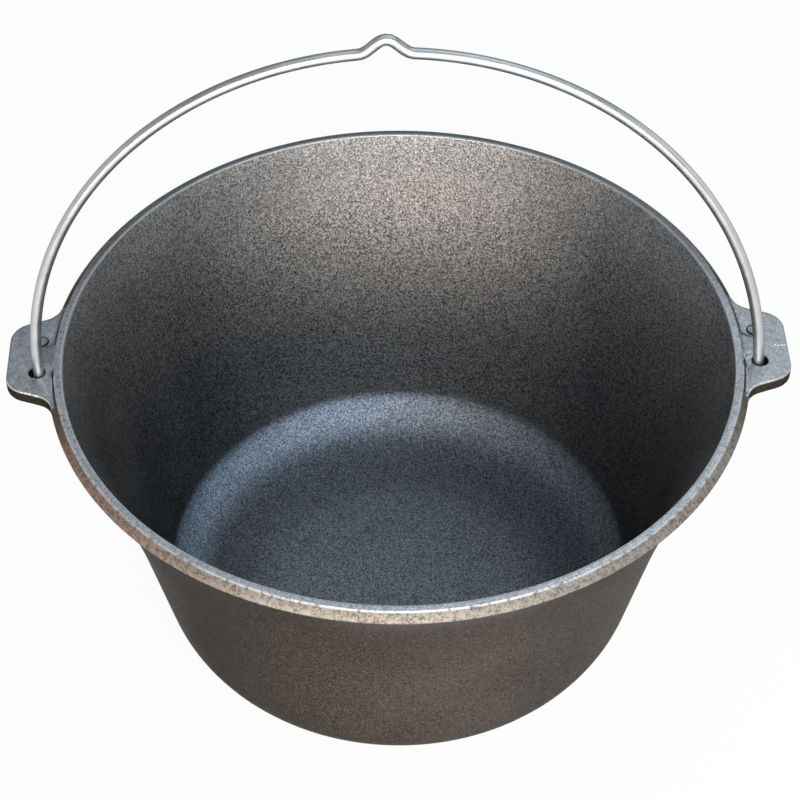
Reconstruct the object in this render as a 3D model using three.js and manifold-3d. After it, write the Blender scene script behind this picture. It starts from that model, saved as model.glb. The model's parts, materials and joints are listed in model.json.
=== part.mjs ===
// Cast iron cauldron: one casting with a pierced ear on each side, and a steel wire bail hooked through them.
// Millimetres, +Z up. The origin is the centre of the base, X runs along the ears, and +Y is the back.
import * as THREE from "three";
import { mergeVertices } from "three/addons/utils/BufferGeometryUtils.js";
import Module from "manifold-3d";

const degrees = THREE.MathUtils.degToRad;

// Pot body
const POT_HEIGHT = 170.5; // ground to rim top
const BASE_RADIUS = 110; // where the wall line would meet the ground
const BASE_FILLET = 41; // outside bottom corner
const WALL_DRAFT = degrees(12.5); // lower wall off upright
const FLARE_START = 78; // height where the wall leaves that line to flare out to the rim
const WALL = 4.6; // wall, measured level
const FLOOR = 5.5;
const CORNER_RISE = 25.7; // inside, floor up to where the wall starts to turn in
const SHOULDER = 14; // radius of that turn, at the top of the inside corner
const BOWL_TURN = degrees(50); // slope where the shoulder meets the wide bowl that runs down to the floor

// Rim bead
const MOUTH_RADIUS = 153; // inner edge of the rim
const RIM_LAND = 3.4; // flat on top of the rim
const BEAD_OVERHANG = 3.6; // widest line of the bead, out from the land
const BEAD_DROP = 4.2; // rim top down to that line
const BEAD_SHOULDER = 3; // how far the bead's side would have dropped there at its first slope
const BEAD_UNDERSIDE = 2.6; // height in which the bead runs back into the wall

// Ears
const EAR_DROP = 2.5; // rim top down to the ear's top face
const EAR_STEP = 1.1; // land's outer edge out to the step where the bead gives way to the ear
const EAR_THICKNESS = 6.5;
const EAR_TIP_WIDTH = 39; // tip line between the side lines
const EAR_SPREAD = degrees(20); // the sides open towards the pot
const EAR_CORNER = 11; // rounding of the tip corners
const EAR_FILLET = 9; // hollow rounding between ear and bead
const EAR_EDGE = 0.8; // softened top and bottom edges
const TIP_MARGIN = 10; // metal outside the holes
const BEAD_MARGIN = 0.5; // metal between the holes and the bead
const BRIDGE = 12; // metal between the two holes of an ear

// Bail
const WIRE = 5; // wire diameter
const HOLE_CLEARANCE = 3; // hole diameter over the wire's
const LEG_INSET = 0.8; // legs hang this far inside the hole centres
const LEG_RISE = 1.5; // straight leg above the hinge line
const TAIL = 4.7; // hook end above the hinge line
const HANG_HEIGHT = 6.5; // hang notch above the arch
const HANG_WIDTH = 23;
const HANG_OFFSET = -5; // from the middle of the ears, along X
const ARCH_SKEW = -3.4; // the hand-bent arch stands this far off the middle of the ears
const BAIL_LEAN = degrees(7); // back from upright, as the pot stands

// Facets
const TURN_STEPS = 96; // round the pot
const FLARE_STEPS = 7; // up the flare
const BEND_STEPS = 6; // round each bend of the bottom corner
const BEAD_STEPS = 5; // over the bead
const EAR_STEPS = 6; // round each curve of an ear
const HOLE_SIDES = 24;
const WIRE_STEPS = 230; // along the bail
const WIRE_SIDES = 10;

// Worked out from the sizes above
const WALL_TURN = Math.PI / 2 - WALL_DRAFT;
const RIM_RADIUS = MOUTH_RADIUS + RIM_LAND + BEAD_OVERHANG;
const HOLE = WIRE + HOLE_CLEARANCE;
const HOLE_X = RIM_RADIUS + BEAD_MARGIN + HOLE / 2;
const HOLE_Y = (BRIDGE + HOLE) / 2;
const EAR_TIP = HOLE_X + HOLE / 2 + TIP_MARGIN;
const EAR_TOP = POT_HEIGHT - EAR_DROP;
const HINGE_HEIGHT = EAR_TOP - EAR_THICKNESS / 2;
const BAIL_RADIUS = HOLE_X - LEG_INSET;

const wasm = await Module();
wasm.setup();

// A closed geometry as a solid that can be joined and cut.
function solid(geometry) {
  const bare = geometry.clone();
  bare.deleteAttribute("normal");
  bare.deleteAttribute("uv");
  const merged = mergeVertices(bare, 1e-4);
  const vertProperties = merged.attributes.position.array;
  const triVerts = new Uint32Array(merged.index.array);
  return new wasm.Manifold(new wasm.Mesh({ numProp: 3, vertProperties, triVerts }));
}

// A solid as a geometry again, with flat facets.
function geometryOf(body) {
  const { vertProperties, triVerts } = body.getMesh();
  const shared = new THREE.BufferGeometry();
  shared.setAttribute("position", new THREE.BufferAttribute(vertProperties, 3));
  shared.setIndex(new THREE.BufferAttribute(triVerts, 1));
  const faceted = shared.toNonIndexed();
  faceted.computeVertexNormals();
  return faceted;
}

// The straight lower wall in section, carried to a height. It would meet the floor at the corner radius.
function draftLine(cornerRadius, floorHeight, height) {
  return new THREE.Vector2(cornerRadius + (height - floorHeight) * Math.tan(WALL_DRAFT), height);
}

// The way out from the centre of a bend in section, turned up from straight down.
function outward(turn) {
  return new THREE.Vector2(Math.sin(turn), -Math.cos(turn));
}

// A bend in section, between two such turns.
function bend(centre, radius, first, last) {
  const down = -Math.PI / 2;
  const arc = new THREE.EllipseCurve(centre.x, centre.y, radius, radius, down + first, down + last);
  return arc.getPoints(BEND_STEPS);
}

// One face of the pot wall in section, above its corner: along the draft line, then up the flare.
function wallSection(cornerRadius, floorHeight, rimRadius, topHeight) {
  const start = draftLine(cornerRadius, floorHeight, FLARE_START);
  const middle = draftLine(cornerRadius, floorHeight, (FLARE_START + POT_HEIGHT) / 2);
  const rim = new THREE.Vector2(rimRadius, POT_HEIGHT);
  const flare = new THREE.QuadraticBezierCurve(start, middle, rim);
  const share = (topHeight - FLARE_START) / (POT_HEIGHT - FLARE_START);
  const points = [];
  for (let i = 0; i <= FLARE_STEPS; i++) {
    points.push(flare.getPoint((share * i) / FLARE_STEPS));
  }
  return points;
}

// The bottom corner outside, which touches the base and the draft line.
function outsideCorner() {
  const setback = BASE_FILLET * Math.tan(WALL_TURN / 2);
  return bend(new THREE.Vector2(BASE_RADIUS - setback, BASE_FILLET), BASE_FILLET, 0, WALL_TURN);
}

// The corner inside: a wide bowl up from the floor, then a tight shoulder into the wall.
function insideCorner(cornerRadius) {
  const top = draftLine(cornerRadius, FLOOR, FLOOR + CORNER_RISE);
  const shoulder = top.addScaledVector(outward(WALL_TURN), -SHOULDER);
  const meeting = shoulder.clone().addScaledVector(outward(BOWL_TURN), SHOULDER);
  const bowlRadius = (meeting.y - FLOOR) / (1 - Math.cos(BOWL_TURN));
  const bowl = meeting.addScaledVector(outward(BOWL_TURN), -bowlRadius);
  return [
    ...bend(bowl, bowlRadius, 0, BOWL_TURN),
    ...bend(shoulder, SHOULDER, BOWL_TURN, WALL_TURN).slice(1),
  ];
}

// The casting's outside, filled to the rim: along the base, up the wall and over the rim bead.
function outsideSection() {
  const beadHeight = POT_HEIGHT - BEAD_DROP;
  const beadFoot = beadHeight - BEAD_UNDERSIDE;
  const bead = new THREE.QuadraticBezierCurve(
    new THREE.Vector2(RIM_RADIUS, beadHeight),
    new THREE.Vector2(RIM_RADIUS, POT_HEIGHT - BEAD_SHOULDER),
    new THREE.Vector2(MOUTH_RADIUS + RIM_LAND, POT_HEIGHT),
  );
  return [
    new THREE.Vector2(0, 0),
    ...outsideCorner(),
    ...wallSection(BASE_RADIUS, 0, MOUTH_RADIUS + WALL, beadFoot),
    ...bead.getPoints(BEAD_STEPS),
    new THREE.Vector2(0, POT_HEIGHT),
  ];
}

// The hollow of the pot, carried on a little way above the rim.
function hollowSection() {
  const cornerRadius = BASE_RADIUS + FLOOR * Math.tan(WALL_DRAFT) - WALL;
  const above = POT_HEIGHT + FLOOR;
  return [
    new THREE.Vector2(0, FLOOR),
    ...insideCorner(cornerRadius),
    ...wallSection(cornerRadius, FLOOR, MOUTH_RADIUS, POT_HEIGHT),
    new THREE.Vector2(MOUTH_RADIUS, above),
    new THREE.Vector2(0, above),
  ];
}

// Plan of one half of an ear, on the +X side with Y up: the hollow fillet, which touches the bead and the
// ear's side line, and the rounded tip corner at the other end of that line.
function earHalf() {
  const across = new THREE.Vector2(Math.sin(EAR_SPREAD), Math.cos(EAR_SPREAD));
  const along = new THREE.Vector2(across.y, -across.x);
  const sideOffset = across.dot(new THREE.Vector2(EAR_TIP, EAR_TIP_WIDTH / 2));
  const filletOffset = sideOffset + EAR_FILLET;
  const filletReach = Math.sqrt((RIM_RADIUS + EAR_FILLET) ** 2 - filletOffset ** 2);
  const fillet = across.clone().multiplyScalar(filletOffset).addScaledVector(along, filletReach);
  const cornerX = EAR_TIP - EAR_CORNER;
  const cornerY = (sideOffset - EAR_CORNER - across.x * cornerX) / across.y;
  const sideAngle = Math.PI / 2 - EAR_SPREAD;
  return {
    fillet: new THREE.EllipseCurve(
      fillet.x, fillet.y, EAR_FILLET, EAR_FILLET, Math.PI + fillet.angle(), Math.PI + sideAngle),
    corner: new THREE.EllipseCurve(cornerX, cornerY, EAR_CORNER, EAR_CORNER, sideAngle, 0, true),
  };
}

// Both halves of the ear's plan as one outline, which starts inside the rim at the mouth.
function earOutline() {
  const half = earHalf();
  const fromBead = [...half.fillet.getPoints(EAR_STEPS), ...half.corner.getPoints(EAR_STEPS)];
  const root = fromBead[0].clone().setLength(MOUTH_RADIUS);
  const upper = [root, ...fromBead];
  const lower = upper.map((point) => new THREE.Vector2(point.x, -point.y)).reverse();
  return new THREE.Shape([...upper, ...lower]);
}

// The ear on the +X side, with its two holes.
function earSolid() {
  const plate = new THREE.ExtrudeGeometry(earOutline(), {
    depth: EAR_THICKNESS - 2 * EAR_EDGE,
    bevelThickness: EAR_EDGE,
    bevelSize: EAR_EDGE,
    bevelOffset: -EAR_EDGE,
    bevelSegments: 2,
  });
  plate.translate(0, 0, EAR_TOP - EAR_THICKNESS + EAR_EDGE);
  let ear = solid(plate);
  for (const side of [-1, 1]) {
    const drill = new THREE.CylinderGeometry(HOLE / 2, HOLE / 2, 2 * EAR_THICKNESS, HOLE_SIDES);
    drill.rotateX(Math.PI / 2);
    drill.translate(HOLE_X, side * HOLE_Y, HINGE_HEIGHT);
    ear = ear.subtract(solid(drill));
  }
  return ear;
}

// The part of the bead's side that stands over the ear on the +X side. It is cut away down to the ear's
// flat top, which leaves a step along the rim.
function beadOverEar() {
  const over = new THREE.ExtrudeGeometry(earOutline(), { depth: 2 * EAR_DROP, bevelEnabled: false });
  over.translate(0, 0, EAR_TOP);
  const stepRadius = MOUTH_RADIUS + RIM_LAND + EAR_STEP;
  const rim = new THREE.CylinderGeometry(stepRadius, stepRadius, 4 * EAR_DROP, TURN_STEPS);
  rim.rotateX(Math.PI / 2).translate(0, 0, POT_HEIGHT);
  return solid(over).subtract(solid(rim));
}

function revolved(section) {
  return solid(new THREE.LatheGeometry(section, TURN_STEPS).rotateX(Math.PI / 2));
}

function potGeometry() {
  const mirrored = (body) => body.add(body.mirror([1, 0, 0]));
  const beaded = revolved(outsideSection()).subtract(mirrored(beadOverEar()));
  const casting = beaded.add(mirrored(earSolid()));
  return geometryOf(casting.subtract(revolved(hollowSection())));
}

// A circular bend of the wire: it starts at centre + first and turns through the angle, towards second.
class Bend extends THREE.Curve {
  constructor(centre, first, second, angle) {
    super();
    Object.assign(this, { centre, first, second, angle });
  }

  getPoint(t, target = new THREE.Vector3()) {
    const turn = t * this.angle;
    return target
      .copy(this.centre)
      .addScaledVector(this.first, Math.cos(turn))
      .addScaledVector(this.second, Math.sin(turn));
  }
}

// The arch over the pot, from the left leg to the right one. The hang notch is a smooth rise of the wire.
class Arch extends THREE.Curve {
  constructor() {
    super();
    this.arcLengthDivisions = 4 * WIRE_STEPS;
  }

  getPoint(t, target = new THREE.Vector3()) {
    const across = -Math.cos(Math.PI * t);
    const up = Math.sin(Math.PI * t);
    const skew = ARCH_SKEW * up * (2 - up);
    const x = BAIL_RADIUS * across + skew;
    const fromNotch = (x - HANG_OFFSET) / HANG_WIDTH;
    const rise = Math.abs(fromNotch) < 0.5 ? HANG_HEIGHT * Math.cos(Math.PI * fromNotch) ** 2 : 0;
    return target.set(x, -HOLE_Y, LEG_RISE + BAIL_RADIUS * up + rise);
  }
}

// The bail's centreline in its own frame: the hinge line is X, the arch stands upright in front of it, and
// each end is hooked round below the hinge line to a short tail behind it.
function wirePath() {
  const ends = [-1, 1].map((side) => {
    const x = side * BAIL_RADIUS;
    return {
      tip: new THREE.Vector3(x, HOLE_Y, TAIL),
      back: new THREE.Vector3(x, HOLE_Y, 0),
      front: new THREE.Vector3(x, -HOLE_Y, 0),
      leg: new THREE.Vector3(x, -HOLE_Y, LEG_RISE),
      hinge: new THREE.Vector3(x, 0, 0),
    };
  });
  const [left, right] = ends;
  const behind = new THREE.Vector3(0, HOLE_Y, 0);
  const before = new THREE.Vector3(0, -HOLE_Y, 0);
  const below = new THREE.Vector3(0, 0, -HOLE_Y);
  const path = new THREE.CurvePath();
  path.add(new THREE.LineCurve3(left.tip, left.back));
  path.add(new Bend(left.hinge, behind, below, Math.PI));
  path.add(new THREE.LineCurve3(left.front, left.leg));
  path.add(new Arch());
  path.add(new THREE.LineCurve3(right.leg, right.front));
  path.add(new Bend(right.hinge, before, below, Math.PI));
  path.add(new THREE.LineCurve3(right.back, right.tip));
  return path;
}

function bailGeometry() {
  const section = new THREE.Shape().absarc(0, 0, WIRE / 2, 0, 2 * Math.PI);
  const wire = new THREE.ExtrudeGeometry(section, {
    steps: WIRE_STEPS,
    curveSegments: WIRE_SIDES / 2,
    extrudePath: wirePath(),
  });
  let bail = solid(wire);
  for (const side of [-1, 1]) {
    const tip = new THREE.SphereGeometry(WIRE / 2, WIRE_SIDES, WIRE_SIDES / 2).rotateX(Math.PI / 2);
    tip.translate(side * BAIL_RADIUS, HOLE_Y, TAIL);
    bail = bail.add(solid(tip));
  }
  return geometryOf(bail);
}

const castIron = new THREE.MeshStandardMaterial({ color: 0x4d4a48, roughness: 0.6, metalness: 0.5 });
const steel = new THREE.MeshStandardMaterial({ color: 0xb9bfc6, roughness: 0.3, metalness: 1 });

const pot = new THREE.Mesh(potGeometry(), castIron);
pot.name = "pot";

const bail = new THREE.Mesh(bailGeometry(), steel);
bail.name = "bail";

// The bail turns about the hinge line, which runs through the middle of both ears.
const hinge = new THREE.Group();
hinge.position.z = HINGE_HEIGHT;
hinge.rotation.x = -BAIL_LEAN;
hinge.add(bail);

const cauldron = new THREE.Group();
cauldron.add(pot, hinge);

export default cauldron;
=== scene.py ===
import json
import math

import bpy
from mathutils import Matrix, Vector


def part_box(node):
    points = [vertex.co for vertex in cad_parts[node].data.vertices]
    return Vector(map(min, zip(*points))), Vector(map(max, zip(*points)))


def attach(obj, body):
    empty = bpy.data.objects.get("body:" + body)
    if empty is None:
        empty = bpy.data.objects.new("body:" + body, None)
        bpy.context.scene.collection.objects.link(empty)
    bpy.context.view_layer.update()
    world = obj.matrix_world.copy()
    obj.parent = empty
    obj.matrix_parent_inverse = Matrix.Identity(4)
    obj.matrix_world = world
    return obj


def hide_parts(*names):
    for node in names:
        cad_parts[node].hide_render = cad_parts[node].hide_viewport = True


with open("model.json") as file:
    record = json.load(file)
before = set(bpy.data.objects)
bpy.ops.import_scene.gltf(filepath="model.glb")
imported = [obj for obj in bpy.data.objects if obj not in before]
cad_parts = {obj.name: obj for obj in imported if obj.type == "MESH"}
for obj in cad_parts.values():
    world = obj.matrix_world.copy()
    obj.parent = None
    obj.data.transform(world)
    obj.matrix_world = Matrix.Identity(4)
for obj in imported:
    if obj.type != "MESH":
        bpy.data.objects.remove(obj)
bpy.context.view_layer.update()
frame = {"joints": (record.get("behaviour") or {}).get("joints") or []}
bpy.ops.object.select_all(action="DESELECT")


# The pot is one iron casting, poured in sand: a round flat-bottomed body whose wall leans out and then
# flares to the mouth. Its rim carries a bead with a ground flat on top and a rounded side.
pot_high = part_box("pot")[1]
rim_top = pot_high.z
rim_radius = pot_high.y
base_radius = 0.110
base_fillet = 0.041
wall_draft = math.radians(12.5)
wall_turn = math.pi / 2 - wall_draft
flare_start = 0.078
wall = 0.0046
floor_thickness = 0.0055
corner_rise = 0.0257
shoulder = 0.014
bowl_turn = math.radians(50)
mouth_radius = 0.153
mouth_edge = 0.0007
rim_land = 0.0034
land_edge = mouth_radius + rim_land
land_ring = 0.08
bead_drop = 0.0042
bead_height = rim_top - bead_drop
bead_shoulder = 0.0030
bead_underside = 0.0026
turn_steps = 240
corner_steps = 14
shoulder_steps = 8
straight_steps = 6
flare_steps = 40
bead_steps = 8
mouth_steps = 4
land_steps = 3
disc_steps = 8
weld = 0.00001


def arc(centre, radius, first, last, steps):
    """Points round part of a circle, with angles in radians."""
    turns = [first + (last - first) * i / steps for i in range(steps + 1)]
    return [Vector((centre[0] + radius * math.cos(a), centre[1] + radius * math.sin(a))) for a in turns]


def bow(start, control, end, steps):
    """Points along a curve from start to end that leaves and arrives on the lines to the control point."""
    shares = [i / steps for i in range(steps + 1)]
    return [start * (1 - t) ** 2 + control * (2 * t * (1 - t)) + end * t ** 2 for t in shares]


def along(start, end, steps):
    """Points between two points, without the ends."""
    return [start.lerp(end, i / steps) for i in range(1, steps)]


def draft_line(corner_radius, floor_height, height):
    """The straight lower wall carried to a height: radius and height."""
    return Vector((corner_radius + (height - floor_height) * math.tan(wall_draft), height))


def wall_face(corner, corner_radius, floor_height, lip_radius, top):
    """One face of the wall in section, from its bottom corner up to a height on the flare."""
    start = draft_line(corner_radius, floor_height, flare_start)
    middle = draft_line(corner_radius, floor_height, (flare_start + rim_top) / 2)
    straight = along(corner[-1], start, straight_steps)
    flare = bow(start, middle, Vector((lip_radius, rim_top)), flare_steps)
    return corner + straight + [point for point in flare if point.y < top]


def outward(turn):
    """The way out from the centre of a bend in section, turned up from straight down."""
    return Vector((math.sin(turn), -math.cos(turn)))


def bend(centre, radius, first, last, steps):
    """Points round a bend in section, between two such turns."""
    return arc(centre, radius, first - math.pi / 2, last - math.pi / 2, steps)


# The corner outside is one round. Inside, a wide bowl rises from the floor to a tight shoulder under
# the wall.
setback = base_fillet * math.tan(wall_turn / 2)
outer_corner = bend((base_radius - setback, base_fillet), base_fillet, 0, wall_turn, corner_steps)
inner_radius = base_radius + floor_thickness * math.tan(wall_draft) - wall
corner_top = draft_line(inner_radius, floor_thickness, floor_thickness + corner_rise)
shoulder_centre = corner_top - outward(wall_turn) * shoulder
meeting = shoulder_centre + outward(bowl_turn) * shoulder
bowl_radius = (meeting.y - floor_thickness) / (1 - math.cos(bowl_turn))
bowl_centre = meeting - outward(bowl_turn) * bowl_radius
inner_corner = bend(bowl_centre, bowl_radius, 0, bowl_turn, corner_steps)
inner_corner += bend(shoulder_centre, shoulder, bowl_turn, wall_turn, shoulder_steps)[1:]

# The section runs from the middle of the base, out and up to the bead, and back down to the middle of
# the floor. One ring stands close to the edge of the ground flat and keeps that edge crisp.
outer_face = wall_face(outer_corner, base_radius, 0, mouth_radius + wall, bead_height - bead_underside)
bead = bow(
    Vector((rim_radius, bead_height)),
    Vector((rim_radius, rim_top - bead_shoulder)),
    Vector((land_edge, rim_top)),
    bead_steps,
)
mouth_centre = (mouth_radius + mouth_edge, rim_top - mouth_edge)
mouth = arc(mouth_centre, mouth_edge, math.pi / 2, math.pi, mouth_steps)
inner_face = wall_face(inner_corner, inner_radius, floor_thickness, mouth_radius, rim_top - mouth_edge)
base_centre = Vector((0, 0))
floor_centre = Vector((0, floor_thickness))
section = [base_centre] + along(base_centre, outer_face[0], disc_steps) + outer_face + bead
section += [bead[-1].lerp(mouth[0], land_ring)] + along(bead[-1], mouth[0], land_steps) + mouth
section += inner_face[::-1] + along(inner_face[0], floor_centre, disc_steps) + [floor_centre]


def draw_line(name, points):
    """An object drawn point after point by extruding, without faces, and left in edit mode."""
    bpy.ops.mesh.primitive_plane_add(size=0.01, location=(0, 0, 0))
    drawn = bpy.context.object
    drawn.name = name
    bpy.ops.object.mode_set(mode="EDIT")
    bpy.ops.mesh.merge(type="CENTER")
    bpy.ops.transform.translate(value=points[0])
    for before, after in zip(points, points[1:]):
        bpy.ops.mesh.extrude_region_move(TRANSFORM_OT_translate={"value": after - before})
    return drawn


def face_outwards():
    """Turns the faces of the solid that is being edited outwards, and leaves edit mode."""
    bpy.ops.mesh.select_all(action="SELECT")
    bpy.ops.mesh.normals_make_consistent(inside=False)
    bpy.ops.object.mode_set(mode="OBJECT")


casting = draw_line("cauldron_casting", [Vector((point.x, 0, point.y)) for point in section])
bpy.ops.mesh.select_all(action="SELECT")
bpy.ops.mesh.spin(steps=turn_steps, angle=2 * math.pi, center=(0, 0, 0), axis=(0, 0, 1))
bpy.ops.mesh.select_all(action="SELECT")
bpy.ops.mesh.remove_doubles(threshold=weld)
face_outwards()


# Each ear is a thick plate cast in one with the rim, with hollow fillets at its root, round tip corners
# and two holes for the wire. The sand leaves every corner soft, and a low web joins the plate to the
# rim between the holes.
ear_tip = pot_high.x
ear_drop = 0.0025
ear_top = rim_top - ear_drop
ear_thickness = 0.0065
ear_tip_width = 0.039
ear_spread = math.radians(20)
ear_corner = 0.011
ear_fillet = 0.009
root_overlap = 0.0006
root_radius = mouth_radius + root_overlap
hole = 0.008
hole_gap = 0.0005
hole_x = rim_radius + hole_gap + hole / 2
hole_y = 0.010
drill_depth = 0.03
shelf_step = 0.0011
shelf_radius = land_edge + shelf_step
shelf_height = 0.008
shelf_slack = 0.0003
slack_spread = 1.1
cutter_depth = 0.5
grain_size = 0.0006
fillet_steps = 10
tip_steps = 12
root_steps = 12


def select_only(*objects):
    """Selects these objects, the first of them active."""
    bpy.ops.object.select_all(action="DESELECT")
    for each in objects:
        each.select_set(True)
    bpy.context.view_layer.objects.active = objects[0]


def finish_modifier(target, kind, **settings):
    """Adds a modifier to an object and applies it at once."""
    select_only(target)
    bpy.ops.object.modifier_add(type=kind)
    modifier = target.modifiers[-1]
    for name, value in settings.items():
        setattr(modifier, name, value)
    bpy.ops.object.modifier_apply(modifier=modifier.name)


def combine(target, other, operation):
    """Joins another solid to the target or cuts it out, and removes the other object."""
    finish_modifier(target, "BOOLEAN", object=other, operation=operation, solver="EXACT")
    bpy.data.objects.remove(other)


# Half of the outline, from the root on the rim round a fillet, along the side and round a tip corner, is
# mirrored to the other half.
across = Vector((math.sin(ear_spread), math.cos(ear_spread)))
lengthwise = Vector((across.y, -across.x))
side_offset = across.dot(Vector((ear_tip, ear_tip_width / 2)))
fillet_offset = side_offset + ear_fillet
fillet_reach = math.sqrt((rim_radius + ear_fillet) ** 2 - fillet_offset ** 2)
fillet_centre = across * fillet_offset + lengthwise * fillet_reach
fillet_angle = math.atan2(fillet_centre.y, fillet_centre.x)
corner_x = ear_tip - ear_corner
corner_y = (side_offset - ear_corner - across.x * corner_x) / across.y
side_angle = math.pi / 2 - ear_spread
half = arc(fillet_centre, ear_fillet, math.pi + fillet_angle, math.pi + side_angle, fillet_steps)
half += arc((corner_x, corner_y), ear_corner, side_angle, 0, tip_steps)
half.insert(0, half[0].normalized() * root_radius)
root_angle = math.atan2(half[0].y, half[0].x)
outline = half + [Vector((point.x, -point.y)) for point in reversed(half)]
outline += arc((0, 0), root_radius, -root_angle, root_angle, root_steps)[1:-1]


def ear_plate(name, height, thickness, spread=1.0):
    """A plate with the ear's outline, with its lower face at a height."""
    plate = draw_line(name, [Vector((point.x, point.y * spread, height)) for point in outline])
    bpy.ops.mesh.select_all(action="SELECT")
    bpy.ops.mesh.edge_face_add()
    bpy.ops.mesh.extrude_region_move(TRANSFORM_OT_translate={"value": (0, 0, thickness)})
    face_outwards()
    return plate


def shelf_space(slack, spread):
    """The space over the ear, out from the rim's ground flat, that stays free of iron."""
    space = ear_plate("shelf", ear_top - slack, shelf_height, spread)
    bpy.ops.mesh.primitive_cylinder_add(vertices=360, radius=shelf_radius - slack, depth=cutter_depth)
    combine(space, bpy.context.object, "DIFFERENCE")
    return space


# The ear is softened together with a stretch of the rim, so that a soft corner forms at its root. The
# stretch lies a little inside the casting's own rim.
sink = 0.00015
stretch_angle = math.radians(16.5)
stretch_steps = 24
rim_outer = [point for point in outer_face + bead if point.x > root_radius + 2 * sink]
rim_line = [Vector((point.x - sink, point.y - sink)) for point in rim_outer]
rim_line += [Vector((root_radius, rim_line[-1].y)), Vector((root_radius, rim_line[0].y))]
to_start = Matrix.Rotation(stretch_angle, 3, "Z")
stretch = draw_line("rim_stretch", [to_start @ Vector((point.x, 0, point.y)) for point in rim_line])
bpy.ops.mesh.select_all(action="SELECT")
bpy.ops.mesh.edge_face_add()
bpy.ops.mesh.spin(steps=stretch_steps, angle=2 * stretch_angle, center=(0, 0, 0), axis=(0, 0, 1))
face_outwards()

ear = ear_plate("ear", ear_top - ear_thickness, ear_thickness)
combine(ear, stretch, "UNION")
combine(ear, shelf_space(0, 1.0), "DIFFERENCE")

# The web slopes from the rim down to the ear. Each pair of its corners has a reach from the middle of
# the pot, a half width and a height.
web_root = shelf_radius - 0.0012
web_end = hole_x + 0.002
web_foot = ear_top - 0.002
web_corners = {
    ("root", "top"): (web_root, 0.0070, rim_top - 0.0009),
    ("root", "foot"): (web_root, 0.0120, web_foot),
    ("end", "top"): (web_end, 0.0035, ear_top - 0.0001),
    ("end", "foot"): (web_end, 0.0075, web_foot),
}
bpy.ops.mesh.primitive_cube_add(size=1, location=(0, 0, 0))
web = bpy.context.object
for corner in web.data.vertices:
    pair = ("root" if corner.co.x < 0 else "end", "top" if corner.co.z > 0 else "foot")
    reach, half_width, height = web_corners[pair]
    corner.co = (reach, math.copysign(half_width, corner.co.y), height)
combine(ear, web, "UNION")

finish_modifier(ear, "REMESH", mode="VOXEL", voxel_size=grain_size)
finish_modifier(ear, "SMOOTH", factor=0.5, iterations=6)
for side in (-1, 1):
    spot = (hole_x, side * hole_y, ear_top)
    bpy.ops.mesh.primitive_cylinder_add(vertices=48, radius=hole / 2, depth=drill_depth, location=spot)
    combine(ear, bpy.context.object, "DIFFERENCE")

# The left ear is a copy of the right one, turned half round. Before the ears join it, the rim is cut back
# a little lower, wider and further in than the space over each ear.
select_only(ear)
bpy.ops.object.duplicate()
left_ear = bpy.context.object
half_turn = Matrix.Rotation(math.pi, 4, "Z")
left_ear.data.transform(half_turn)
left_space = shelf_space(shelf_slack, slack_spread)
left_space.data.transform(half_turn)
combine(casting, shelf_space(shelf_slack, slack_spread), "DIFFERENCE")
combine(casting, left_space, "DIFFERENCE")
combine(casting, ear, "UNION")
combine(casting, left_ear, "UNION")

# The halves of the mould leave a broken seam across the outer part of one ear: a short row of small
# burrs.
burr_half_width = 0.00045
for burr_x, burr_y, burr_length, burr_height in (
    (0.1712, -0.0002, 0.0007, 0.00025),
    (0.1728, 0.0001, 0.0009, 0.00040),
    (0.1743, -0.0003, 0.0007, 0.00045),
    (0.1757, 0.0001, 0.0008, 0.00035),
    (0.1770, 0.0004, 0.0006, 0.00045),
):
    bpy.ops.mesh.primitive_ico_sphere_add(subdivisions=3, radius=1, location=(burr_x, burr_y, ear_top))
    burr = bpy.context.object
    burr.scale = (burr_length, burr_half_width, burr_height)
    bpy.ops.object.transform_apply(location=True, scale=True)
    combine(casting, burr, "UNION")

# Slivers that the cuts leave are dissolved, in a few sweeps because each can leave new ones.
sliver = 0.00002
sweeps = 4
smooth_angle = math.radians(40)
select_only(casting)
bpy.ops.object.mode_set(mode="EDIT")
for _ in range(sweeps):
    bpy.ops.mesh.select_all(action="SELECT")
    bpy.ops.mesh.quads_convert_to_tris(ngon_method="CLIP")
    bpy.ops.mesh.dissolve_degenerate(threshold=sliver)
bpy.ops.object.mode_set(mode="OBJECT")
bpy.ops.object.shade_smooth_by_angle(angle=smooth_angle)


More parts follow.
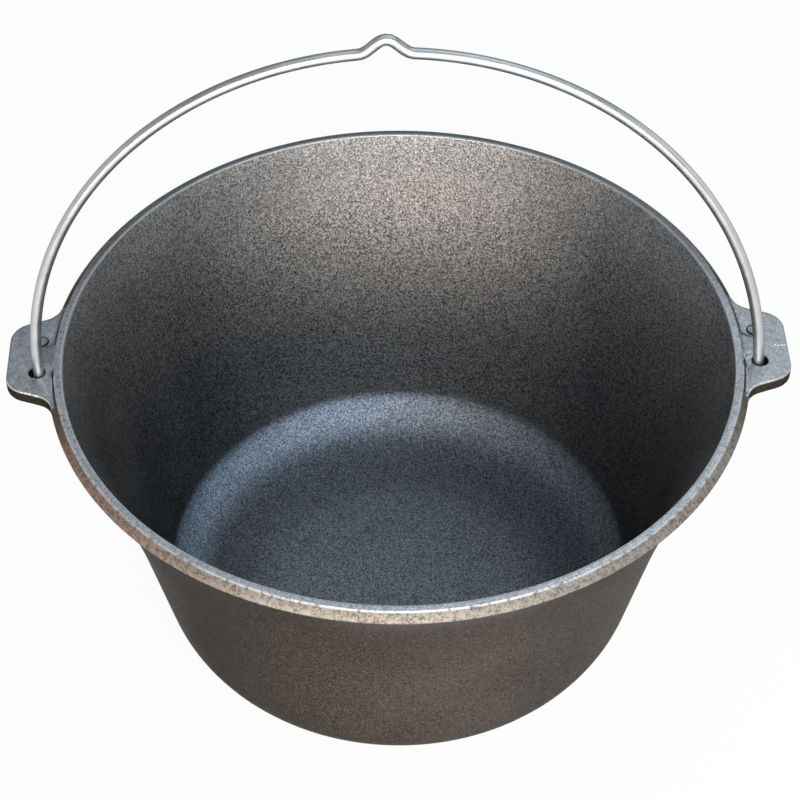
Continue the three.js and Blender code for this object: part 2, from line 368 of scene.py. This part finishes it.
class Shade:
    """An output of a node in a material. Arithmetic on it adds Math nodes, and node() adds other kinds."""

    def __init__(self, socket):
        self.socket = socket

    def node(self, kind, settings, inputs, output=0):
        """A new node in the same material, with its settings, its inputs and the output that is wanted."""
        tree = self.socket.id_data
        made = tree.nodes.new(kind)
        for name, value in settings.items():
            setattr(made, name, value)
        for key, value in inputs.items():
            if isinstance(value, Shade):
                tree.links.new(value.socket, made.inputs[key])
            else:
                made.inputs[key].default_value = value
        return Shade(made.outputs[output])

    def math(self, operation, other=0.0):
        """A Math node with this output as its first value."""
        return self.node("ShaderNodeMath", {"operation": operation}, {0: self, 1: other})

    def __add__(self, other):
        return self.math("ADD", other)

    __radd__ = __add__

    def __sub__(self, other):
        return self.math("SUBTRACT", other)

    def __rsub__(self, other):
        return self.node("ShaderNodeMath", {"operation": "SUBTRACT"}, {0: other, 1: self})

    def __mul__(self, other):
        return self.math("MULTIPLY", other)

    __rmul__ = __mul__

    def __pow__(self, other):
        return self.math("POWER", other)

    def either(self, other):
        """The larger of this output and another."""
        return self.math("MAXIMUM", other)

    def noise(self, scale, detail, roughness):
        """Noise over the surface, with this output as its place."""
        inputs = {"Vector": self, "Scale": scale, "Detail": detail, "Roughness": roughness}
        return self.node("ShaderNodeTexNoise", {}, inputs)

    def span(self, low, high, first=0.0, last=1.0):
        """A soft step from first to last as this output goes from low to high."""
        inputs = {"Value": self, "From Min": low, "From Max": high, "To Min": first, "To Max": last}
        return self.node("ShaderNodeMapRange", {"interpolation_type": "SMOOTHSTEP"}, inputs)

    def band(self, start, full, fade, end):
        """A soft band: 0 up to start, 1 from full to fade, and 0 again from end on."""
        return self.span(start, full) * self.span(end, fade)

    def tint(self, first, last):
        """A colour that goes from first to last as this output goes from 0 to 1."""
        return self.node("ShaderNodeMix", {"data_type": "RGBA"}, {0: self, 6: first, 7: last}, 2)

    def times(self, other):
        """This colour multiplied by another."""
        settings = {"data_type": "RGBA", "blend_type": "MULTIPLY"}
        return self.node("ShaderNodeMix", settings, {0: 1.0, 6: self, 7: other}, 2)

    def mix(self, share, other):
        """This colour with another laid over it where the share is 1."""
        return share.tint(self, other)


def new_material(name):
    """A material, its main shader node and its Object coordinates."""
    made = bpy.data.materials.new(name)
    made.use_nodes = True
    nodes = made.node_tree.nodes
    coordinates = nodes.new("ShaderNodeTexCoord")
    return made, nodes["Principled BSDF"], Shade(coordinates.outputs["Object"])


def parts(vector):
    """The X, Y and Z of a vector output."""
    return [vector.node("ShaderNodeSeparateXYZ", {}, {"Vector": vector}, axis) for axis in "XYZ"]


def feed(shader, name, value):
    """Links an output to a socket of a shader."""
    value.socket.id_data.links.new(value.socket, shader.inputs[name])


def grey(value):
    """A colour that is the same in red, green and blue."""
    return (value, value, value, 1)


# The masks of the iron follow its form: the outside of the wall, the ears, what is ground flat, and the
# side of the bead.
iron, iron_shader, place = new_material("sand_cast_iron")
x, y, z = parts(place)
facing_up = parts(Shade(place.socket.node.outputs["Normal"]))[2]
radius = (x * x + y * y) ** 0.5
across_ears = x.math("ABSOLUTE")
off_ears = y.math("ABSOLUTE")
from_mouth = radius - mouth_radius
above_ear = z - ear_top
above_rim = z - rim_top
flare_share = ((z - flare_start) * (1 / (rim_top - flare_start))).either(0.0)
flare_out = mouth_radius - draft_line(inner_radius, floor_thickness, rim_top).x
wall_middle = z * math.tan(wall_draft) + flare_share * flare_share * flare_out + base_radius - wall / 2
outside = (radius - wall_middle).span(-0.001, 0.001).either(facing_up.span(-0.02, -0.12))
ear_zone = from_mouth.span(0.0005, 0.0010) * off_ears.span(0.034, 0.030) * across_ears.span(0.10, 0.11)
ear_face = ear_zone * above_ear.span(-0.0010, -0.0005)
flat_top = facing_up.span(0.86, 0.97) * above_rim.span(-0.0008, -0.0004)
ground = ear_face.either(flat_top)
rim_zone = (z - bead_height).span(-0.0010, 0.0002)
bead_side = rim_zone * outside * (1 - ground) * (1 - ear_zone)

# Sand leaves a grain of pale and dark specks. Wide mottling and patches lie under it.
mottle = place.noise(26, 4, 0.6)
patches = place.noise(9, 3, 0.55)
grain = place.noise(1400, 3, 0.7)
pits = place.noise(1000, 2, 0.6)
wear = place.noise(450, 2, 0.6)
fleck = place.noise(1300, 2, 0.7).span(0.50, 0.66)
cell = place.node("ShaderNodeTexVoronoi", {}, {"Vector": place, "Scale": 1700.0}, "Position")
sparkle = cell.node("ShaderNodeTexWhiteNoise", {}, {"Vector": cell}, "Value")
grit = (grain.span(0.34, 0.66) * 0.35 + sparkle * 0.65) ** 1.35
inside_grit = grit.tint(grey(0.24), grey(2.15))
deep_grit = grit.tint(grey(0.02), grey(2.45))
outside_grit = grit.tint(grey(0.50), grey(1.72))

# Inside, the oiled iron is mottled. The sides of the wall, and the floor towards the wall, are darkened
# with painted shade. A painted bluish reflection lightens the corner round the floor, most at the left,
# and a painted highlight lightens the upper wall at the back.
oiled_dark = (0.184, 0.185, 0.187, 1)
oiled_pale = (0.228, 0.228, 0.229, 1)
side_shade_colour = (0.02, 0.022, 0.025, 1)
back_wall_highlight = (0.250, 0.245, 0.240, 1)
corner_right = (0.222, 0.237, 0.262, 1)
corner_middle = (0.310, 0.356, 0.428, 1)
corner_left = (0.370, 0.455, 0.560, 1)
floor_middle = (0.196, 0.217, 0.251, 1)
floor_edge_shade = (0.104, 0.114, 0.131, 1)
# Painted shade darkens the sides of the inner wall.
side_shade_share = across_ears.span(0.05, 0.13) * z.span(0.165, 0.13)
# A painted highlight brightens the upper wall at the back.
back_wall_highlight_share = y.span(0.03, 0.09) * across_ears.span(0.10, 0.04) * z.span(0.165, 0.135)
# A painted bluish reflection brightens the corner round the floor, most at the left.
corner_share = facing_up.span(0.22, 0.50) * z.span(0.040, 0.032)
floor_share = facing_up.span(0.72, 0.92)
deep_share = z.band(0.030, 0.040, 0.125, 0.155) * across_ears.span(0.15, 0.10)
corner_reflection_colour = x.span(0.05, -0.08).tint(corner_right, corner_middle)
corner_reflection_colour = corner_reflection_colour.mix(x.span(-0.06, -0.10), corner_left)
# Painted shade makes the floor darker towards the wall.
floor_colour = radius.span(0.055, 0.085).tint(floor_middle, floor_edge_shade)
inside_colour = mottle.span(0.3, 0.7).tint(oiled_dark, oiled_pale)
inside_colour = inside_colour.mix(side_shade_share * 0.30, side_shade_colour).mix(back_wall_highlight_share, back_wall_highlight)
inside_colour = inside_colour.mix(corner_share, corner_reflection_colour).mix(floor_share, floor_colour)
inside_colour = inside_colour.times(inside_grit.mix(deep_share, deep_grit))

# Outside, smoke has browned the iron, and the tips of the sand grain show as bright flecks. Painted shade
# makes the left side darker and browner, with fewer flecks. A pale smear lies under the bead in front.
smoke_dark = (0.078, 0.067, 0.056, 1)
smoke_pale = (0.130, 0.117, 0.105, 1)
left_shade_colour = (0.030, 0.0245, 0.015, 1)
fleck_bright = (0.31, 0.272, 0.230, 1)
smear_pale = (0.200, 0.185, 0.190, 1)
ear_brown = (0.036, 0.029, 0.022, 1)
# Painted shade darkens the left side of the outside.
left_shade_share = x.span(-0.02, -0.13)
fleck_share = patches.span(0.35, 0.6, 0.62, 0.38) * (1 - left_shade_share * 0.5)
smear_share = z.span(0.142, 0.158) * x.band(-0.05, 0.0, 0.04, 0.09) * y.span(0.0, -0.05)
smear_share = smear_share * patches.span(0.3, 0.55, 0.4, 1.0)
outside_colour = patches.span(0.3, 0.7).tint(smoke_dark, smoke_pale)
outside_colour = outside_colour.mix(left_shade_share * 0.92, left_shade_colour).mix(fleck * fleck_share, fleck_bright)
outside_colour = outside_colour.times(outside_grit).mix(smear_share * 0.7, smear_pale)
outside_colour = outside_colour.mix(ear_zone * 0.75, ear_brown)

# The bead is sand-rough and pale, and darker near the ears. What is ground flat is bluish, and painted
# shade makes it darker at the back.
bead_bright = (0.316, 0.290, 0.262, 1)
bead_rust = (0.335, 0.220, 0.170, 1)
bead_hollow = (0.115, 0.098, 0.084, 1)
bead_dark = (0.070, 0.058, 0.048, 1)
ground_dull = (0.30, 0.318, 0.336, 1)
ground_bright = (0.53, 0.559, 0.588, 1)
ground_back_shade = (0.10, 0.112, 0.128, 1)
worn = grain * 0.6 + wear * 0.4
bead_pale = x.span(-0.06, -0.14).tint(bead_bright, bead_rust)
bead_colour = worn.span(0.38, 0.56).tint(bead_hollow, bead_pale)
bead_colour = bead_colour.mix(off_ears.span(0.075, 0.035) * 0.7, bead_dark)
ground_colour = worn.span(0.36, 0.62).tint(ground_dull, ground_bright)
# Painted shade darkens the ground flat at the back.
ground_colour = ground_colour.mix(y.span(0.01, 0.08) * 0.72, ground_back_shade)

# Handling has worn chips on the edges of the ears down to pale metal, and these edges also carry a
# painted highlight. A painted highlight in the same pale colour runs along the front of the ground flat's
# outer edge and round the lip of the mouth. Painted shadow darkens the line where an ear meets the rim.
bare_iron_and_highlight = (0.66, 0.67, 0.68, 1)
groove_shadow_colour = (0.030, 0.031, 0.034, 1)
chips = wear.span(0.35, 0.5, 0.25, 1.0)
web_zone = across_ears.span(hole_x + 0.003, hole_x + 0.001) * off_ears.span(0.015, 0.013)
ear_edge = facing_up.band(0.2, 0.45, 0.86, 0.96) * above_ear.band(-0.0018, -0.0010, 0.0001, 0.0003)
ear_edge = ear_edge * ear_zone * (1 - web_zone)
# A painted highlight runs along the front of the ground flat's outer edge and round the lip of the mouth.
ridge_highlight = (radius - land_edge).band(-0.0004, -0.0001, 0.0004, 0.0009) * above_rim.span(-0.0012, -0.0007)
ridge_highlight = ridge_highlight * (1 - ear_zone) * y.span(0.05, -0.05)
lip_highlight = from_mouth.band(-0.0002, 0.0, 0.0007, 0.0010) * above_rim.span(-0.0009, -0.0006)
wear_and_highlight = (ear_edge * chips).either(ridge_highlight * chips * 0.7).either(lip_highlight * 0.5)
# Painted shadow darkens the line where an ear meets the rim.
seam = (radius - shelf_radius).band(-0.0005, -0.0002, 0.0005, 0.0009) * above_rim.span(-0.0006, -0.0011)
seam = seam * ear_zone * off_ears.span(0.008, 0.011)

skin = inside_colour.mix(outside, outside_colour).mix(bead_side, bead_colour).mix(ground, ground_colour)
skin = skin.mix(wear_and_highlight, bare_iron_and_highlight).mix(seam * 0.85, groove_shadow_colour)
feed(iron_shader, "Base Color", skin)
iron_shader.inputs["Metallic"].default_value = 0.85
iron_shader.inputs["Specular Tint"].default_value = grey(0.18)
polish = ground * 0.14 - bead_side * (1 - wear_and_highlight) * 0.22
feed(iron_shader, "Roughness", mottle.span(0.25, 0.75, 0.33, 0.41) - polish)
relief_depth = 0.0003
relief = (grain + pits * (1 - outside * 0.7)) * (1 - ground * 0.65) * (1 - bead_side * 0.5)
bump = place.node("ShaderNodeBump", {}, {"Strength": 1.0, "Distance": relief_depth, "Height": relief})
feed(iron_shader, "Normal", bump)
casting.data.materials.append(iron)
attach(casting, "pot")
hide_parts("pot")


# The bail is one length of bright steel wire, bent over a former: an arch with a small hump at the top
# for the pot hook, and a hooked end through the two holes of each ear.
hinge = Vector(frame["joints"][0]["pos_m"])
wire = 0.005
wire_rounding = 6
tip_round = wire * 0.4
leg_inset = 0.0008
bail_radius = hole_x - leg_inset
leg_rise = 0.0015
tail = 0.0047
hang_height = 0.0064
hang_width = 0.023
hang_offset = -0.005
arch_skew = -0.0034
lean = math.radians(7)
arch_steps = 260
hook_steps = 16


def arch_point(share):
    """A point of the arch in the bail's own plane, from the left leg at 0 to the right one at 1."""
    up = math.sin(math.pi * share)
    along_x = -bail_radius * math.cos(math.pi * share) + arch_skew * up * (2 - up)
    off = (along_x - hang_offset) / hang_width
    hump = hang_height * math.cos(math.pi * off) ** 2 if abs(off) < 0.5 else 0
    return Vector((along_x, -hole_y, leg_rise + bail_radius * up + hump))


def hook_end(side):
    """The end of the wire from the tip of its tail, round under the ear, to the foot of the leg."""
    turns = [math.pi * i / hook_steps for i in range(hook_steps + 1)]
    hook = [Vector((side * bail_radius, hole_y * math.cos(a), -hole_y * math.sin(a))) for a in turns]
    tip = Vector((side * bail_radius, hole_y, tail))
    return [tip, tip.lerp(hook[0], 0.5)] + hook


centreline = hook_end(-1)
centreline += [arch_point(i / arch_steps) for i in range(arch_steps + 1)]
centreline += hook_end(1)[::-1]
leaning = Matrix.Translation(hinge) @ Matrix.Rotation(-lean, 4, "X")

bpy.ops.curve.primitive_nurbs_path_add()
bail = bpy.context.object
bail.name = "wire_bail"
bpy.ops.object.mode_set(mode="EDIT")
bpy.ops.curve.select_all(action="SELECT")
bpy.ops.curve.spline_type_set(type="POLY")
bpy.ops.object.mode_set(mode="OBJECT")
path = bail.data.splines[0]
path.points.add(len(centreline) - len(path.points))
for point, spot in zip(path.points, centreline):
    point.co = (leaning @ spot).to_4d()
bail.data.bevel_depth = wire / 2
bail.data.bevel_resolution = wire_rounding
bail.data.use_fill_caps = True
bpy.ops.object.convert(target="MESH")

# The cut ends of the wire are rounded: they are the only faces with many sides.
bpy.ops.object.mode_set(mode="EDIT")
bpy.ops.mesh.select_all(action="SELECT")
bpy.ops.mesh.remove_doubles(threshold=weld)
bpy.ops.mesh.normals_make_consistent(inside=False)
bpy.ops.mesh.select_all(action="DESELECT")
bpy.ops.mesh.select_mode(type="FACE")
bpy.ops.mesh.select_face_by_sides(number=6, type="GREATER")
bpy.ops.mesh.bevel(offset=tip_round, segments=5, affect="EDGES")
bpy.ops.object.mode_set(mode="OBJECT")
bpy.ops.object.shade_smooth_by_angle(angle=smooth_angle)

steel_dark = (0.46, 0.47, 0.48, 1)
steel_pale = (0.60, 0.61, 0.62, 1)
steel, steel_shader, place = new_material("bright_steel_wire")
streaks = place.noise(120, 2, 0.5)
feed(steel_shader, "Base Color", streaks.tint(steel_dark, steel_pale))
steel_shader.inputs["Metallic"].default_value = 0.96
steel_shader.inputs["Specular Tint"].default_value = (0.25, 0.25, 0.27, 1)
feed(steel_shader, "Roughness", streaks.span(0.3, 0.7, 0.34, 0.40))
bail.data.materials.append(steel)
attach(bail, "bail")
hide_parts("bail")


# The pot stands on a plain pale floor. It shows as white to the camera and in the metal, and keeps the
# shadow of the pot.
floor_size = 12
floor_gap = 0.0003
white_share = 0.92
bpy.ops.mesh.primitive_plane_add(size=floor_size, location=(0, 0, -floor_gap))
ground_sheet = bpy.context.object
ground_sheet.name = "floor"
paper, paper_shader, _ = new_material("pale_floor")
paper_shader.inputs["Base Color"].default_value = grey(0.9)
paper_shader.inputs["Roughness"].default_value = 0.9
paper_shader.inputs["Specular IOR Level"].default_value = 0.1
paper_nodes = paper.node_tree.nodes
rays = paper_nodes.new("ShaderNodeLightPath")
seen = Shade(rays.outputs["Is Camera Ray"]) + Shade(rays.outputs["Is Glossy Ray"])
seen = seen + Shade(rays.outputs["Is Transmission Ray"])
white = seen.node("ShaderNodeEmission", {}, {"Color": grey(1), "Strength": 1.0})
lit = Shade(paper_shader.outputs[0])
white_factor = seen.math("MINIMUM", 1.0) * white_share
paper_mix = seen.node("ShaderNodeMixShader", {}, {0: white_factor, 1: lit, 2: white})
paper.node_tree.links.new(paper_mix.socket, paper_nodes["Material Output"].inputs["Surface"])
ground_sheet.data.materials.append(paper)


# Soft studio light comes from eight panels: cool ones overhead, high at the back, at both sides and high
# in front, and warm ones lower in front. A dim surround fills in between them.
def panel(name, location, target, width, height, power, colour):
    """One soft oblong light that faces a target and that the camera doesn't see."""
    bpy.ops.object.light_add(type="AREA", location=location)
    lamp = bpy.context.object
    lamp.name = name
    lamp.data.shape = "RECTANGLE"
    lamp.data.size = width
    lamp.data.size_y = height
    lamp.data.energy = power
    lamp.data.color = colour
    lamp.visible_camera = False
    lamp.rotation_euler = (Vector(target) - Vector(location)).to_track_quat("-Z", "Y").to_euler()


panel("overhead", (0.3, 0.3, 2.4), (0.3, 0.3, 0), 3.2, 1.6, 11, (0.80, 0.91, 1.0))
panel("back_sky", (0.9, 1.4, 2.67), (0, 0, 0.17), 3.0, 1.0, 10, (0.84, 0.93, 1.0))
panel("right_sky", (1.18, 2.05, 2.02), (0, 0, 0.17), 1.6, 0.8, 2.4, (0.84, 0.93, 1.0))
panel("right_side", (2.4, 0.3, 0.75), (0, 0, 0.2), 3.0, 1.3, 12, (0.93, 0.97, 1.0))
panel("left_side", (-2.4, 0.3, 0.75), (0, 0, 0.2), 3.0, 1.3, 8, (0.70, 0.85, 1.0))
panel("front_sky", (0.8, -2.2, 2.1), (0, 0, 0.1), 2.8, 0.9, 42, (0.72, 0.87, 1.0))
panel("front_mid", (-0.4, -2.1, 1.60), (0, 0, 0.1), 1.5, 0.3, 13, (1.0, 0.90, 0.80))
panel("front_low", (-0.15, -2.2, 0.60), (0, 0, 0.15), 3.0, 0.9, 76, (1.0, 0.89, 0.78))

surround = bpy.data.worlds.new("surround")
bpy.context.scene.world = surround
surround.use_nodes = True
backdrop = surround.node_tree.nodes["Background"]
backdrop.inputs["Color"].default_value = (0.86, 0.88, 0.90, 1)
backdrop.inputs["Strength"].default_value = 0.26


# The camera looks down at the pot from in front, at the photograph's angle and distance, which were
# fitted to the ellipse of the rim.
camera_shift = 0.0005
camera_reach = 0.8055
camera_rise = 0.7786
camera_turn = math.radians(-1.4)
camera_tilt = math.radians(44.74)
bpy.ops.object.camera_add()
camera = bpy.context.object
camera.data.lens = 110.3
camera.data.sensor_width = 36
camera.location = Matrix.Rotation(camera_turn, 3, "Z") @ Vector((camera_shift, -camera_reach, 0))
camera.location.z = rim_top + camera_rise
camera.rotation_euler = (camera_tilt, 0, camera_turn)
bpy.context.scene.camera = camera
bpy.context.scene.view_settings.view_transform = "Standard"
